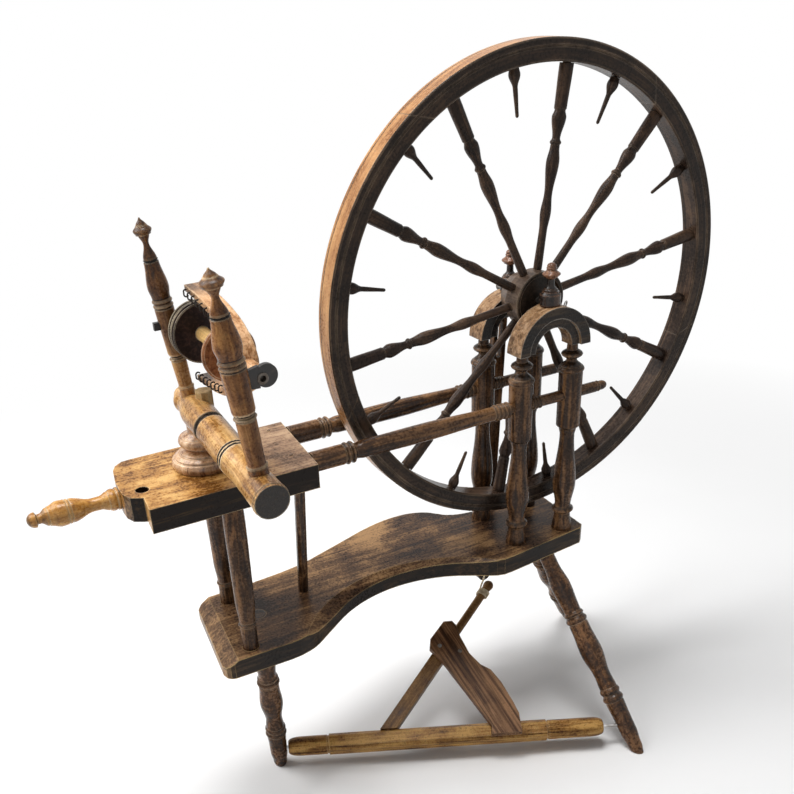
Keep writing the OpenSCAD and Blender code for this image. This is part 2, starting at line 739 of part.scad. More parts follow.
module treadle_arm() {
    color(honey) in_treadle() union() {
        difference() {
            union() {
                translate([arm_foot, 0, 0]) rotate([0, 0, arm_dir])
                    translate([0, -arm_w / 2, arm_drop - arm_t / 2]) cube([arm_square_l, arm_w, arm_t]);
                arm_line(arm_square_l - 1) turned(arm_shape(arm_l - arm_square_l));
            }
            translate([-spare, bar_s / 2 - spare, -spare]) cube([2 * spare, spare, 2 * spare]);
        }
        intersection() {
            arm_line(0) cylinder(r = arm_tenon_r, h = arm_tenon_l);
            translate([-spare, bar_s / 2 + 0.5 - spare, -spare]) cube([2 * spare, spare, 2 * spare]);
        }
    }
}

module pedal() {
    color(red_brown) in_treadle() translate([0, 0, bar_s / 2]) difference() {
        linear_extrude(pedal_t) polygon(pedal_line);
        for (p = nail_spots) translate([p[0], p[1], -1]) cylinder(r = nail_r + fit, h = pedal_t + 2);
    }
}

module pedal_nails() {
    color(iron) in_treadle() for (p = nail_spots)
        translate([p[0], p[1], bar_s / 2])
            turned(concat(rod(0, pedal_t, nail_r), [[nail_head_r, pedal_t]],
            dome(pedal_t + 0.4, pedal_t + 1.4, nail_head_r)));
}

cord_r = 1.3;
cord_l = 11;
cord_back = 26;
cord_stop = 1;
cord_out = arm_r + 1.7 * cord_r;
treadle_yaw = atan2(pivot_d[1], pivot_d[0]);

// Place of the point that lies dist along the arm's axis
function arm_point(dist) = pivot_a + (arm_at + arm_foot + dist * cos(arm_dir)) * pivot_d
    + dist * sin(arm_dir) * [-sin(treadle_yaw) * cos(treadle_tilt),
        cos(treadle_yaw) * cos(treadle_tilt), sin(treadle_tilt)]
    + arm_drop * [sin(treadle_yaw) * sin(treadle_tilt), -cos(treadle_yaw) * sin(treadle_tilt),
        cos(treadle_tilt)];
arm_way = arm_point(1) - arm_point(0);
eye_at = [crank_at[0] - (footman_l - footman_w / 2) * sin(footman_lean), footman_y - cord_stop,
    crank_at[1] - (footman_l - footman_w / 2) * cos(footman_lean)];

// Winding round the arm's tip, as its outer shape, and the strand that runs up to the footman's eye
module tie_cord() {
    p = arm_point(arm_l - cord_back + cord_l / 2);
    side = eye_at - p - ((eye_at - p) * arm_way) * arm_way;
    a = p + cord_out * side / norm(side);
    color(string) {
        in_treadle() arm_line(arm_l - cord_back) difference() {
            cylinder(r = arm_r + 2 * cord_r, h = cord_l);
            translate([0, 0, -1]) cylinder(r = arm_r + fit, h = cord_l + 2);
        }
        along(a, eye_at) cylinder(r = cord_r * 0.8, h = norm(eye_at - a));
    }
}

// Tension screw and nut
screw_tip = moa_x + slot[0] / 2 - 1;
handle_l = 99;
handle_shape = concat(rod(slide_gap, 3, 12.5), bead(3, 11.5, 11, 12.2), sweep(12, 21, 10.4, 7.5),
    sweep(21, 29, 7.5, 7.4), sweep(29, 52.5, 7.4, 13.3), rod(53, 53.8, 12.6), sweep(54, 56.2, 13.5, 13.7),
    rod(56.4, 57.2, 12.9), sweep(57.4, 65, 13.8, 14.1), sweep(65, 76.5, 14.1, 10.6),
    rod(76.7, 77.3, 9.7), sweep(77.5, 85.5, 10, 5.4), rod(85.6, 88, 5.4), sweep(88.1, 90, 5.6, 8.4),
    dome(90.5, handle_l, 8.4));

module tension_screw() {
    color(honey) union() {
        bar_x(screw_r, nose_x - 1, screw_tip, screw_y, rail_z);
        translate([nose_x, screw_y, rail_z]) rotate([0, -90, 0]) turned(handle_shape);
    }
}

stem_depth = 3.4;
stem_tenon_r = 4;
stem_up = 3;
stem_z = rail_z + nut[2] / 2 - stem_depth;

module screw_nut() {
    color(honey) difference() {
        translate([moa_x - nut[0] / 2, screw_y - nut[1] / 2, rail_z - nut[2] / 2]) cube(nut);
        bar_x(screw_r + run, moa_x - nut[0], moa_x + nut[0], screw_y, rail_z);
        translate([moa_x, screw_y, stem_z]) cylinder(r = stem_tenon_r + fit, h = nut[2]);
    }
}

// Mother-of-all and its pedestal
moa_z = table_z + moa_rise;
moa_y = [-209, 43];
ped_n = moa_z - table_z;
moa_r = 18;
ped_tenon_r = 8;
ped_tenon_l = 18;

ped_shape = concat(bead(slide_gap, 11, 33, 35), rod(11, 13, 30.5), sweep(13, 16, 30.5, 27),
    rod(16, 17.5, 24), sweep(17.5, 22, 24, 15),
    sweep(22, 26, 15, 22.5), bead(26, 35, 22.5, 24.5), sweep(35, 41, 19.5, 13), rod(41, ped_n - 7, 13));

// The mother-of-all falls to the front, about the pedestal's axis
module on_moa() {
    translate([moa_x, screw_y, moa_z]) rotate([moa_tilt, 0, 0])
        translate([-moa_x, -screw_y, -moa_z]) children();
}

// Tenon of the pedestal, or its socket, in the underside of the mother-of-all
module ped_tenon(grow) {
    translate([moa_x, screw_y, moa_z - moa_r - 5])
        cylinder(r = ped_tenon_r + grow, h = ped_tenon_l + grow);
}

module pedestal() {
    color(honey) union() {
        difference() {
            translate([moa_x, screw_y, table_z]) turned(ped_shape);
            on_moa() bar_y(moa_r + fit, moa_y[0], moa_y[1], moa_x, moa_z);
        }
        translate([moa_x, screw_y, stem_z]) cylinder(r = stem_tenon_r, h = table_z + stem_up - stem_z);
        ped_tenon(0);
    }
}

// Distances run from the front end to the back
moa_shape = concat(rod(0, 3, 18.2), bead(3, 6, 17.4, 19), sweep(6, 60, 18.2, 17), sweep(60, 84, 17, 18),
    bead(86, 89.5, 18.8, 17), bead(91, 94.5, 18.8, 17), rod(96, 155, moa_r), rod(156, 162, moa_r - 3),
    rod(163, 200, moa_r), sweep(200, 224, moa_r, 14.5), sweep(226, 233, 13, 15.2),
    sweep(233, 250, 15.2, 9.5), rod(250, moa_y[1] - moa_y[0], 8));
maiden_foot = 8;
maiden_r = 10;
maiden_y = [-179, 9];
maiden_top = [192, 203];
head_at = [115, 126];
ring_at = [56, 59];
// The rear maiden is the slimmer one
maiden_share = [1, 0.82];
function maiden_base(i) = (maiden_y[i] - screw_y) * tan(moa_tilt);
block_spot = [-431, -12];
block_deep = 6;
block_up = 24;
block_r = 9.6;

module maiden_axis(y) {
    translate([moa_x, y, moa_z]) rotate([0, -maiden_lean, 0]) children();
}

module mother_of_all() {
    color(honey) difference() {
        on_moa() translate([moa_x, moa_y[0], moa_z]) rotate([-90, 0, 0]) turned(moa_shape);
        for (i = [0, 1])
            maiden_axis(maiden_y[i]) translate([0, 0, maiden_foot + maiden_base(i)])
                cylinder(r = maiden_r * maiden_share[i] + fit, h = spare);
        ped_tenon(fit);
        block(fit);
    }
}

// Small eight-sided block on the mother-of-all
module block(grow) {
    translate([block_spot[0], block_spot[1], moa_z + block_deep])
        rotate(10) cylinder(r = block_r + grow, h = block_up - block_deep, $fn = 8);
}

module maiden_block() {
    color(pale) block(0);
}

// Both maidens are one pattern; b is where the foot starts, g the ring and k the head
function slimmed(p, share) = [for (q = p) [q[0] * share, q[1]]];
function maiden_shape(b, g, k, n) = concat(rod(b + maiden_foot, b + 22, maiden_r),
    bead(b + 22, b + 25, 9.6, 10.8), sweep(b + 26, g - 4, 9.2, 10), bead(g - 3, g, 9, 11.4),
    rod(g, g + 2.5, 8.4), sweep(g + 3, g + 6, 10.6, 11.4), sweep(g + 6, k - 14, 11.4, 12.4),
    bead(k - 13, k - 9, 11.5, 13),
    bead(k - 8, k - 4, 11.5, 13), sweep(k - 3, k + 8, 11.5, 13.4), sweep(k + 8, k + 34, 13.4, 9.4),
        bead(k + 34, k + 36, 9.4, 8),
    sweep(k + 36, k + 52, 8.6, 3.6), sweep(k + 52, k + 61, 3.6, 7), sweep(k + 61, k + 65, 9.5, 11.5),
        sweep(k + 65, k + 70, 11.5, 7),
    sweep(k + 70, n, 6.2, 1));

flyer_x = -426;
flyer_z = moa_z + flyer_rise;
leaf_t = 5;
leaf_h = 15;
leaf_tail = 8;
leaf_end_r = 11;
leaf_end = [4, 2];
leaf_out = [6, 17];
leaf_up = [0, 7];
orifice_r = 5.5;
orifice_in = 3;
function maiden_at(z) = moa_x - (z - moa_z) * tan(maiden_lean);

// A leaf tapers from the flyer's axis to the maiden, and its tail comes out behind
module leaf_outline(i, grow) {
    x = maiden_at(flyer_z);
    a = leaf_h / 2 + grow;
    t = leaf_tail / 2 + grow;
    o = leaf_out[i] + grow;
    u = flyer_z + leaf_up[i];
    polygon([[x - o, u - t], [x - maiden_r, u - t], [x, flyer_z - a],
        [flyer_x - 3, flyer_z + leaf_end[1] - leaf_end_r * 0.95],
        [flyer_x - 3, flyer_z + leaf_end[1] + leaf_end_r * 0.95],
        [x, max(flyer_z + a, u + t)], [x - maiden_r, u + t], [x - o, u + t]]);
}

module maiden(i) {
    color(honey) difference() {
        maiden_axis(maiden_y[i])
            turned(slimmed(maiden_shape(maiden_base(i), ring_at[i], head_at[i],
                maiden_top[i]), maiden_share[i]));
        translate([0, maiden_y[i] + leaf_t / 2 + fit, 0]) rotate([90, 0, 0])
            linear_extrude(leaf_t + 2 * fit) leaf_outline(i, fit);
    }
}

module front_maiden() maiden(0);
module rear_maiden() maiden(1);

module leaf(i, r) {
    color(leather) translate([0, maiden_y[i] + leaf_t / 2, 0]) rotate([90, 0, 0]) linear_extrude(leaf_t)
        difference() {
            union() {
                leaf_outline(i, 0);
                translate([flyer_x + leaf_end[0], flyer_z + leaf_end[1]]) circle(r = leaf_end_r);
            }
            translate([flyer_x, flyer_z]) circle(r = r + run);
        }
}

module front_bearing() leaf(0, orifice_r);
module rear_bearing() leaf(1, spindle_r);

// Flyer, with its axis along Y
spindle_y = [-182, 18];
neck_y = -175;
flyer_y = [-150, -15];
flyer_w = 20;
arm_thick = 6;
bobbin_y = [-100, -13.2];
whorl_y = [-12.8, -4];
disc_r = 31;
flange_r = 28;
core_r = 7.5;
hook_wire = 0.8;
hook_bend = 1.8;
hook_drop = 3;
hook_turn = 2.4;
hook_out = 1.5;
hook_grip = 6;
hook_count = 7;
hook_step = 11.5;
hook_first = flyer_y[1] - 6;

module on_flyer() {
    translate([flyer_x, 0, flyer_z]) children();
}

module spindle() {
    color(iron) on_flyer() difference() {
        union() {
            bar_y(spindle_r, neck_y, spindle_y[1]);
            bar_y(orifice_r, spindle_y[0], neck_y);
        }
        bar_y(orifice_in, spindle_y[0] - 1, neck_y - 1);
    }
}

// Half outline of the bow in the plane of the arms: a blunt nose, then arms that spread to their ends.
// Distances run back from the nose; the ends stand at flyer_span
flyer_l = flyer_y[1] - flyer_y[0];
bow_out = [[0, 0.16], [0.02, 0.27], [0.06, 0.41], [0.12, 0.54], [0.2, 0.66], [0.3, 0.76], [0.44, 0.85],
    [0.6, 0.92], [0.8, 0.97], [1, 1]];
bow_in = [[1, 0], [0.8, 0.5], [0.6, 1.2], [0.44, 2], [0.34, 3.4], [0.27, 7], [0.23, 13], [0.21, 20]];
function bow_at(t) = lookup(t, bow_out) * flyer_span;
function half_bow(s) = concat([for (p = bow_out) [flyer_y[0] + p[0] * flyer_l, s * p[1] * flyer_span]],
    [for (p = bow_in) [flyer_y[0] + p[0] * flyer_l, s * (bow_at(p[0]) - arm_thick - p[1])]]);

module flyer() {
    neck = concat(rod(neck_y, neck_y + 3, 7.6), bead(neck_y + 3, neck_y + 7, 6.4, 7.8),
        bead(neck_y + 7.5, neck_y + 11, 6.4, 7.8), sweep(neck_y + 11.5, neck_y + 19, 6.6, 9),
        rod(neck_y + 19, neck_y + 32, 9));
    color(honey) on_flyer() difference() {
        union() {
            translate([-flyer_w / 2, 0, 0]) rotate([90, 0, 90]) linear_extrude(flyer_w)
                polygon(concat([for (i = [len(half_bow(-1)) - 1:-1:0]) half_bow(-1)[i]], half_bow(1)));
            rotate([-90, 0, 0]) turned(neck);
        }
        bar_y(spindle_r + fit, neck_y - 5, 0);
        hook_places() bar_x(hook_wire + fit, -hook_out, hook_grip + fit);
    }
}

// Each hook's place: on the left edge of an arm, with local Z away from the flyer's axis
module hook_places() {
    for (s = [0, 1])
        for (k = [0:hook_count - 1]) {
            y = hook_first - hook_step * k;
            rise = bow_at((y - flyer_y[0]) / flyer_l) - arm_thick / 2;
            mirror([0, 0, s]) translate([-flyer_w / 2, y, rise]) children();
        }
}

// A straight shank in the arm's edge, a bend, a short drop and a curl under the arm
module wire_bend(x, z, r, from, turn) {
    translate([x, 0, z]) rotate([90, 0, 0]) rotate(from)
        rotate_extrude(angle = turn) translate([r, 0]) circle(r = hook_wire);
}

module flyer_hooks() {
    x = -hook_out - hook_bend;
    z = -hook_bend - hook_drop;
    color(iron) on_flyer() hook_places() union() {
        bar_x(hook_wire, -hook_out, hook_grip);
        wire_bend(-hook_out, -hook_bend, hook_bend, 90, 90);
        translate([x, 0, z]) cylinder(r = hook_wire, h = hook_drop);
        wire_bend(x + hook_turn, z, hook_turn, 180, 150);
    }
}

function pulley(y0, y1, r) = [[spindle_r, y0], [r - 1, y0], [r, y0 + 1], [r, y0 + 2],
    [r - 4, (y0 + y1) / 2 + 0.2], [r, y1 - 1.5], [r, y1 - 0.5], [r - 0.5, y1]];

module whorl() {
    color(dark) on_flyer() rotate([-90, 0, 0]) rotate_extrude()
        polygon(concat([for (p = pulley(whorl_y[0], whorl_y[1], disc_r)) [max(p[0], spindle_r + fit),
            p[1]]], [[spindle_r + fit, whorl_y[1]]]));
}

module bobbin() {
    y0 = bobbin_y[0];
    y1 = bobbin_y[1];
    b = spindle_r + run;
    color(red_brown) on_flyer() rotate([-90, 0, 0]) rotate_extrude()
        polygon(concat([[b, y0], [flange_r - 2, y0], [flange_r, y0 + 2], [flange_r, y0 + 4],
            [flange_r - 3, y0 + 7], [core_r, y0 + 8], [core_r, y1 - 9]],
            [for (i = [1:7]) pulley(y1 - 9, y1, disc_r)[i]], [[b, y1]]));
}

// Middle of the footprint as seen from the wheel's centre
mid = [(nose_x - handle_l + wheel_r) / 2, -64.7];

lift() bench();
lift() left_leg();
lift() front_leg();
lift() rear_leg();
lift() front_left_post();
lift() front_right_post();
lift() rear_left_post();
lift() rear_right_post();
lift() front_arch();
lift() rear_arch();
lift() front_finial();
lift() rear_finial();
lift() front_rail();
lift() rear_rail();
lift() rail_pins();
lift() arch_staple();
lift() table();
lift() front_table_post();
lift() rear_table_post();
lift() table_strut();
lift() felloe_1();
lift() felloe_2();
lift() felloe_3();
lift() felloe_4();
lift() felloe_5();
lift() hub();
lift() spokes();
lift() rim_pegs();
lift() axle_crank();
lift() footman();
lift() treadle_bar();
lift() treadle_arm();
lift() pedal();
lift() pedal_nails();
lift() treadle_pins();
lift() tie_cord();
lift() tension_screw();
lift() screw_nut();
lift() pedestal();
lift() mother_of_all();
lift() maiden_block();
lift() front_maiden();
lift() rear_maiden();
lift() front_bearing();
lift() rear_bearing();
lift() flyer();
lift() flyer_hooks();
lift() spindle();
lift() whorl();
lift() bobbin();
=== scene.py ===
import bpy
import math
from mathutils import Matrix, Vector


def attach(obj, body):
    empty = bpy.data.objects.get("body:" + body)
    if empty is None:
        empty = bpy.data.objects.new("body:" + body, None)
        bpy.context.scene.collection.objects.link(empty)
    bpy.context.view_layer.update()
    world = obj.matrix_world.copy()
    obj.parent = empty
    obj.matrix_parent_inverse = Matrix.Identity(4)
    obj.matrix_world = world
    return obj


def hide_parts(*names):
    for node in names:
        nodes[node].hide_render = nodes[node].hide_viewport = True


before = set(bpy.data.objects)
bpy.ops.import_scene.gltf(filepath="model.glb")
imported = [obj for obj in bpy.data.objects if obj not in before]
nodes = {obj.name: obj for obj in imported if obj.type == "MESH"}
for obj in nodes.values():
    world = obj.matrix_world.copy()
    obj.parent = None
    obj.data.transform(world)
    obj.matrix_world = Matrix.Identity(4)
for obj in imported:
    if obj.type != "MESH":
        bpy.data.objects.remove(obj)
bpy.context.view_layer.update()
print("frame loaded:", len(nodes), "pieces")

# The wheel's middle in the shared frame, in metres, and the way each piece's grain runs
wheelMiddle = Vector((0.1795, 0.0647, 0.578))
upright, level, across = (0, 0, 1), (1, 0, 0), (0, 1, 0)
leftLegWay = (-0.043, -0.067, 0.997)
frontLegWay = (-0.098, 0.625, 0.774)
rearLegWay = (-0.489, -0.195, 0.85)
motherWay = (0, 0.99377, 0.11147)
maidenWay = (-0.1184, 0, 0.99297)
barWay = (0.9028, -0.4302, 0)
armWay = (0.8479, 0.3771, 0.3726)
pedalWay = (-0.037, 0.9, 0.42)


# Camera, fitted to the photo: metres, degrees and millimetres
cameraView = {
    "place": (-0.5425, -0.904, 0.9261),
    "turn": (58.2021, 3.1431, -27.5741),
    "lens": 44.019,
    "sensor": 36,
    "shift": (0.0494, 0.225),
}
cameraData = bpy.data.cameras.new("photoCamera")
cameraData.lens = cameraView["lens"]
cameraData.sensor_width = cameraView["sensor"]
cameraData.shift_x, cameraData.shift_y = cameraView["shift"]
camera = bpy.data.objects.new("photoCamera", cameraData)
camera.location = cameraView["place"]
camera.rotation_euler = [math.radians(a) for a in cameraView["turn"]]
bpy.context.scene.collection.objects.link(camera)
bpy.context.scene.camera = camera

# Round soft lamps, all aimed at the middle of the part
lampAim = Vector((0.05, 0, 0.4))
lampSettings = {
    "window": {"place": (-1.9, 1.1, 2.5), "size": 2.3, "watts": 82},
    "overhead": {"place": (-0.3, 0.2, 3.0), "size": 1.2, "watts": 62},
    "frontFill": {"place": (-1.9, -2.2, 1.4), "size": 2.0, "watts": 5},
}
for lampName, lamp in lampSettings.items():
    lampData = bpy.data.lights.new(lampName, "AREA")
    lampData.shape = "DISK"
    lampData.size = lamp["size"]
    lampData.energy = lamp["watts"]
    lampObject = bpy.data.objects.new(lampName, lampData)
    lampObject.location = lamp["place"]
    aim = lampAim - lampObject.location
    lampObject.rotation_euler = aim.to_track_quat("-Z", "Y").to_euler()
    bpy.context.scene.collection.objects.link(lampObject)
print("camera and", len(lampSettings), "lamps set")


# Node helpers: a socket is linked, and anything else is set as the input's value
def feed(tree, socket, value):
    if isinstance(value, bpy.types.NodeSocket):
        tree.links.new(value, socket)
    else:
        socket.default_value = value


# Inputs are given by name, with _ for a space, or by number as i0, i1 and so on
def addNode(tree, kind, settings=None, **sockets):
    n = tree.nodes.new(kind)
    for key, value in (settings or {}).items():
        setattr(n, key, value)
    for key, value in sockets.items():
        numbered = key[0] == "i" and key[1:].isdigit()
        feed(tree, n.inputs[int(key[1:]) if numbered else key.replace("_", " ")], value)
    return n


def mathNode(tree, operation, a, b=0.0, clamp=False):
    settings = {"operation": operation, "use_clamp": clamp}
    return addNode(tree, "ShaderNodeMath", settings, i0=a, i1=b).outputs[0]


def vectorNode(tree, operation, a, b=(0, 0, 0), output=0):
    n = addNode(tree, "ShaderNodeVectorMath", {"operation": operation}, i0=a, i1=b)
    return n.outputs[output]


def dotNode(tree, a, b):
    return vectorNode(tree, "DOT_PRODUCT", a, b, "Value")


def mixColour(tree, factor, a, b):
    n = addNode(tree, "ShaderNodeMix", {"data_type": "RGBA"})
    for place, value in ((0, factor), (6, a), (7, b)):
        feed(tree, n.inputs[place], value)
    return n.outputs[2]


def paint(tree, factor, colour, over):
    return mixColour(tree, factor, colour, (*over, 1))


def ramp(tree, factor, stops, between="LINEAR"):
    n = addNode(tree, "ShaderNodeValToRGB", None, Fac=factor)
    while len(n.color_ramp.elements) < len(stops):
        n.color_ramp.elements.new(0.5)
    for element, (place, colour) in zip(n.color_ramp.elements, stops):
        element.position = place
        element.color = (*colour, 1)
    n.color_ramp.interpolation = between
    return n.outputs[0]


# Dark, middle and light wood, evenly spread
def toneRamp(tree, tone, tones):
    return ramp(tree, tone, list(zip((0.0, 0.5, 1.0), tones)))


def remap(tree, value, low, high, newLow=0.0, newHigh=1.0):
    n = addNode(tree, "ShaderNodeMapRange", None, Value=value, From_Min=low, From_Max=high,
        To_Min=newLow, To_Max=newHigh)
    return n.outputs[0]


def noise(tree, place, scale, detail, roughness=0.5, distortion=0.0):
    n = addNode(tree, "ShaderNodeTexNoise", None, Vector=place, Scale=scale, Detail=detail,
        Roughness=roughness, Distortion=distortion)
    return n.outputs[0]


# Sum of values, each by its share
def blend(tree, values, shares):
    total = None
    for value, share in zip(values, shares):
        part = mathNode(tree, "MULTIPLY", value, share)
        total = part if total is None else mathNode(tree, "ADD", total, part)
    return total


def texturePlace(tree, kind="Object"):
    return addNode(tree, "ShaderNodeTexCoord").outputs[kind]


def newMaterial(name):
    m = bpy.data.materials.new(name)
    m.use_nodes = True
    tree = m.node_tree
    return m, tree, tree.nodes["Principled BSDF"]


def dress(tree, shader, colour, rough, height, bump, **more):
    tree.links.new(colour, shader.inputs["Base Color"])
    tree.links.new(rough, shader.inputs["Roughness"])
    strength, depth = bump
    n = addNode(tree, "ShaderNodeBump", None, Strength=strength, Distance=depth, Height=height,
        **more)
    tree.links.new(n.outputs[0], shader.inputs["Normal"])


# Where the grain runs: along a direction, round the wheel or out from its hub
grainArc = 0.27


def grainPlace(tree, grain):
    place = texturePlace(tree)
    if grain in ("ring", "ray"):
        moved = vectorNode(tree, "SUBTRACT", place, wheelMiddle)
        x, y, z = addNode(tree, "ShaderNodeSeparateXYZ", None, Vector=moved).outputs
        flat = addNode(tree, "ShaderNodeCombineXYZ", None, X=x, Y=0.0, Z=z)
        reach = vectorNode(tree, "LENGTH", flat.outputs[0], output="Value")
        arc = mathNode(tree, "MULTIPLY", mathNode(tree, "ARCTAN2", z, x), grainArc)
        first, last = (arc, reach) if grain == "ring" else (reach, arc)
        polar = addNode(tree, "ShaderNodeCombineXYZ", None, X=first, Y=y, Z=last)
        return place, polar.outputs[0]
    turn = Vector(grain).rotation_difference(Vector(level)).to_euler()
    turned = addNode(tree, "ShaderNodeMapping", {"vector_type": "POINT"}, Vector=place,
        Rotation=turn)
    return place, turned.outputs[0]


# Rings at set distances along a turned piece
def ringMask(tree, distance, rings, tone):
    stops = [(0.0, (0, 0, 0))]
    for low, high in rings[tone]:
        stops += [(low / rings["length"], (1, 1, 1)), (high / rings["length"], (0, 0, 0))]
    return ramp(tree, mathNode(tree, "DIVIDE", distance, rings["length"]), stops, "CONSTANT")


# What every wood has unless its own look says otherwise
woodLook = {
    "grainSize": (9, 150, 150),
    "streak": (1.0, 6.0, 0.65, 0.8),
    "cloudScale": 24,
    "cloud": (5.0, 0.62),
    "speckScale": 330,
    "speck": (2.0, 0.6),
    "mix": (0.4, 0.35, 0.25),
    "toneRange": (0.41, 0.59),
    "treadTurn": (0.75, 0.9),
    "pores": 0.45,
    "poreRange": (0.58, 0.7),
    # Painted shade with some grime on the slopes of turned beads and grooves
    "grooveShadeAndGrime": 0.7,
    "grooveShadeSlope": (0.35, 0.8),
    # The next five keys paint shade on the side facing the camera, away from the lamps: strength,
    # facing range, streaks, spread and colour
    "front": 0.6,
    "frontTurn": (-0.45, -0.85),
    "frontStreak": (0.35, 0.65),
    "frontSpread": 0.1,
    "frontShadeColour": (0.014, 0.011, 0.009),
    # Rubbed pale edges, partly real wear and partly painted highlight
    "wearAndGlint": 0.7,
    "edgeWidth": 0.0022,
    "edgeSamples": 6,
    "edgeTurn": (0.994, 0.93),
    "edgePatches": (0.4, 0.6, 0.25, 1.0),
    "ringWobble": (0.3, 0.7, -0.0003, 0.0003),
    "paleRing": (0.35, 0.6, 0.05, 0.35),
    "darkRing": 0.95,
    "rough": (0.28, 0.5),
    "roughMix": (0.6, 0.4),
    "roughRange": (0.35, 0.65),
    "bump": 0.3,
    "bumpDepth": 0.0006,
    "bumpMix": (0.6, -0.5),
    "shine": 0.12,
}


# Old polished wood: streaked grain, blotched stain, pores, rubbed edges with a painted highlight,
# painted shade in turned grooves and a front darkened by painted shade
def woodMaterial(name, ownLook, grain, axis=None, rings=None, zones=()):
    look = {**woodLook, **ownLook}
    m, tree, shader = newMaterial(name)
    place, along = grainPlace(tree, grain)
    normal = texturePlace(tree, "Normal")
    streak = noise(tree, vectorNode(tree, "MULTIPLY", along, look["grainSize"]), *look["streak"])
    cloud = noise(tree, place, look["cloudScale"], *look["cloud"])
    speck = noise(tree, place, look["speckScale"], *look["speck"])
    tone = blend(tree, (streak, cloud, speck), look["mix"])
    tone = remap(tree, tone, *look["toneRange"])
    colour = toneRamp(tree, tone, look["tones"])

    # Other tones beyond a level on one axis
    xyz = addNode(tree, "ShaderNodeSeparateXYZ", None, Vector=place).outputs
    for side, height, soft, tones in zones:
        beyond = remap(tree, xyz[side], height - soft / 2, height + soft / 2)
        colour = mixColour(tree, beyond, colour, toneRamp(tree, tone, tones))
    if "tread" in look:
        out = vectorNode(tree, "NORMALIZE", vectorNode(tree, "SUBTRACT", place, wheelMiddle))
        tread = remap(tree, dotNode(tree, out, normal), *look["treadTurn"])
        colour = mixColour(tree, tread, colour, toneRamp(tree, tone, look["tread"]))
    pores = remap(tree, speck, *look["poreRange"])
    poreShare = mathNode(tree, "MULTIPLY", pores, look["pores"])
    colour = paint(tree, poreShare, colour, look["poreAndShadeColour"])

    # Painted shade with some grime on the slopes of a turned piece's beads and grooves, in the pore
    # colour
    if axis:
        way = axis
        if axis == "ray":
            moved = vectorNode(tree, "SUBTRACT", place, wheelMiddle)
            way = vectorNode(tree, "NORMALIZE", vectorNode(tree, "MULTIPLY", moved, (1, 0, 1)))
        slope = mathNode(tree, "ABSOLUTE", dotNode(tree, normal, way))
        grooveShadeAndGrime = remap(tree, slope, *look["grooveShadeSlope"], 0.0, look["grooveShadeAndGrime"])
        colour = paint(tree, grooveShadeAndGrime, colour, look["poreAndShadeColour"])

    # Painted shade darkens the side facing the camera, away from the lamps, in streaks
    facing = addNode(tree, "ShaderNodeSeparateXYZ", None, Vector=normal).outputs[1]
    most, least = look["front"] + look["frontSpread"], look["front"] - look["frontSpread"]
    streaks = remap(tree, streak, *look["frontStreak"], most, least)
    front = mathNode(tree, "MULTIPLY", remap(tree, facing, *look["frontTurn"]), streaks, clamp=True)
    colour = paint(tree, front, colour, look["frontShadeColour"])

    # Edges rubbed pale, partly real wear and partly a painted highlight, found where a bevelled
    # normal leaves the true one
    smooth = addNode(tree, "ShaderNodeBevel", {"samples": look["edgeSamples"]},
        Radius=look["edgeWidth"]).outputs[0]
    turnOff = dotNode(tree, smooth, addNode(tree, "ShaderNodeNewGeometry").outputs["Normal"])
    rubbedEdgeAndGlint = mathNode(tree, "MULTIPLY", remap(tree, turnOff, *look["edgeTurn"]),
        remap(tree, cloud, *look["edgePatches"]))
    rubbedEdgeAndGlint = mathNode(tree, "MULTIPLY", rubbedEdgeAndGlint, look["wearAndGlint"], clamp=True)
    colour = paint(tree, rubbedEdgeAndGlint, colour, look["wornAndGlint"])
    if rings:
        moved = vectorNode(tree, "SUBTRACT", place, rings["from"])
        distance = dotNode(tree, moved, rings["along"])
        distance = mathNode(tree, "ADD", distance, remap(tree, speck, *look["ringWobble"]))
        # Pale rings in the rubbed colour, which also carries painted highlight
        if rings["pale"]:
            pale = mathNode(tree, "MULTIPLY", ringMask(tree, distance, rings, "pale"),
                remap(tree, cloud, *look["paleRing"]))
            colour = paint(tree, pale, colour, look["wornAndGlint"])
        dark = ringMask(tree, distance, rings, "dark")
        dark = mathNode(tree, "MULTIPLY", dark, look["darkRing"])
        colour = paint(tree, dark, colour, look["poreAndShadeColour"])
    patchy = blend(tree, (cloud, speck), look["roughMix"])
    rough = remap(tree, patchy, *look["roughRange"], *look["rough"])
    height = blend(tree, (streak, pores), look["bumpMix"])
    dress(tree, shader, colour, rough, height, (look["bump"], look["bumpDepth"]), Normal=smooth)
    shader.inputs["Specular IOR Level"].default_value = look["shine"]
    return m


# Each wood's own tones run dark, middle, light; front sets its painted shade on the side facing the
# camera
honeyLook = {
    "tones": ((0.11, 0.042, 0.009), (0.38, 0.185, 0.05), (0.62, 0.375, 0.135)),
    "poreAndShadeColour": (0.05, 0.022, 0.01),
    "wornAndGlint": (0.82, 0.6, 0.34),
    "wearAndGlint": 0.8,
    "rough": (0.22, 0.4),
    "front": 1.02,
    "frontTurn": (0.0, -0.5),
    "edgeWidth": 0.0016,
    "frontShadeColour": (0.012, 0.008, 0.006),
    "toneRange": (0.43, 0.57),
    "mix": (0.3, 0.47, 0.23),
    "shine": 0.14,
}
flyerLook = {
    "tones": ((0.26, 0.11, 0.04), (0.56, 0.31, 0.15), (0.76, 0.5, 0.29)),
    "poreAndShadeColour": (0.08, 0.035, 0.015),
    "wornAndGlint": (0.8, 0.6, 0.38),
    "wearAndGlint": 0.7,
    "rough": (0.24, 0.42),
    "front": 0.0,
    "grainSize": (12, 260, 260),
}
